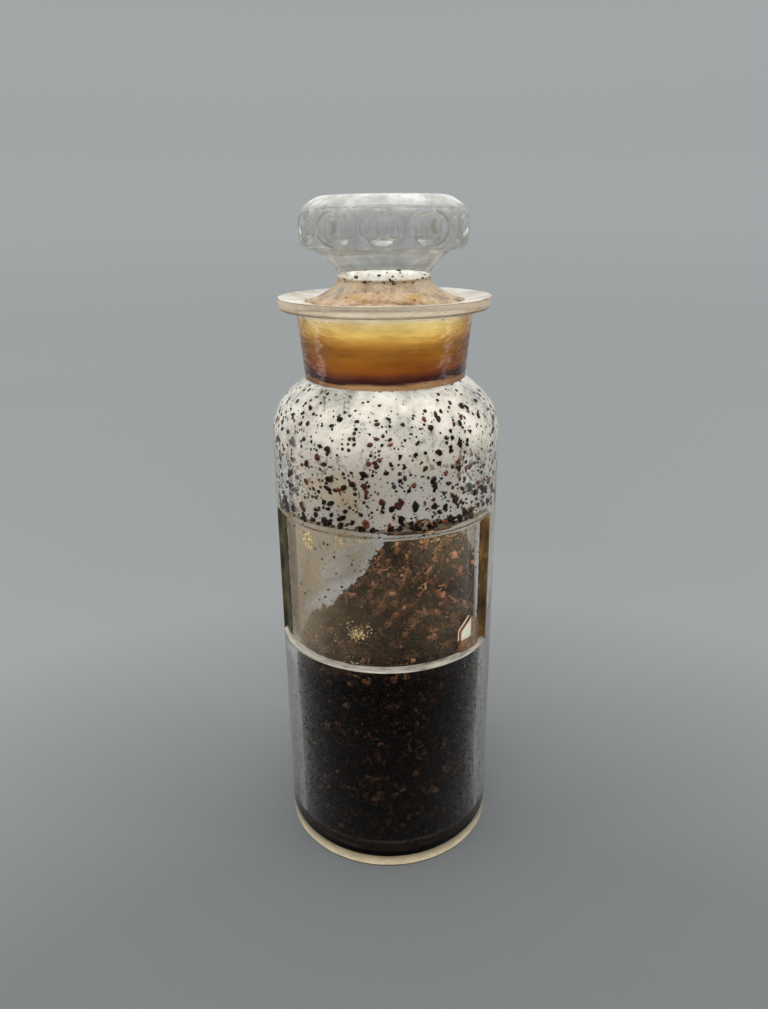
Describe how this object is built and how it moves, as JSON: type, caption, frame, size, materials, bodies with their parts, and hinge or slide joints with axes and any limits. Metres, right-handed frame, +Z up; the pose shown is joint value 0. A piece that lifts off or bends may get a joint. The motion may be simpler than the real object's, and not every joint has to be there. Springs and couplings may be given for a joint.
{
  "type": "apothecary bottle",
  "caption": "Wide-mouth glass shop bottle with a sunk label panel, a hollow ground stopper with a thumbprint knob, and dried crumbs inside.",
  "frame": {"origin": "centre of the base, in the plane that the bottle stands on", "axes": "+Z up along the bottle's axis, -Y out of the label panel, +X to the right of a viewer who faces the panel"},
  "size_m": [0.075, 0.075, 0.225],
  "materials": {
    "clear_glass": "polished, with a dusty haze inside",
    "stopper_glass": "pressed and fire-polished, with a ground plug",
    "label_glass": "polished",
    "dried_resin": "hard, dark and shiny",
    "dried_crumbs": "rough, crumbly and dry",
    "dark_crumbs": "rough and dry",
    "white_paint": "flat paint behind glass",
    "gold_leaf": "worn leaf",
    "stained_border": "stained gold paint and cement"
  },
  "bodies": {
    "bottle_body": {"bottle": "clear_glass", "joint_resin": "dried_resin", "contents": "dried_crumbs", "loose_grains": "dried_crumbs", "shoulder_crumbs": "dark_crumbs", "shelf_crumbs": "dark_crumbs", "label_shard": "label_glass", "label_white_field": "white_paint", "label_gold_border": "gold_leaf", "border_strip_left": "stained_border", "border_strip_right": "stained_border", "gold_flakes": "gold_leaf"},
    "stopper_body": {"stopper": "stopper_glass", "stopper_crumbs": "dark_crumbs"}
  },
  "joints": [
    {"name": "stopper_lift", "type": "slide", "parent": "bottle_body", "child": "stopper_body", "axis": [0, 0, 1], "range_m": [0, 0.06]}
  ]
}
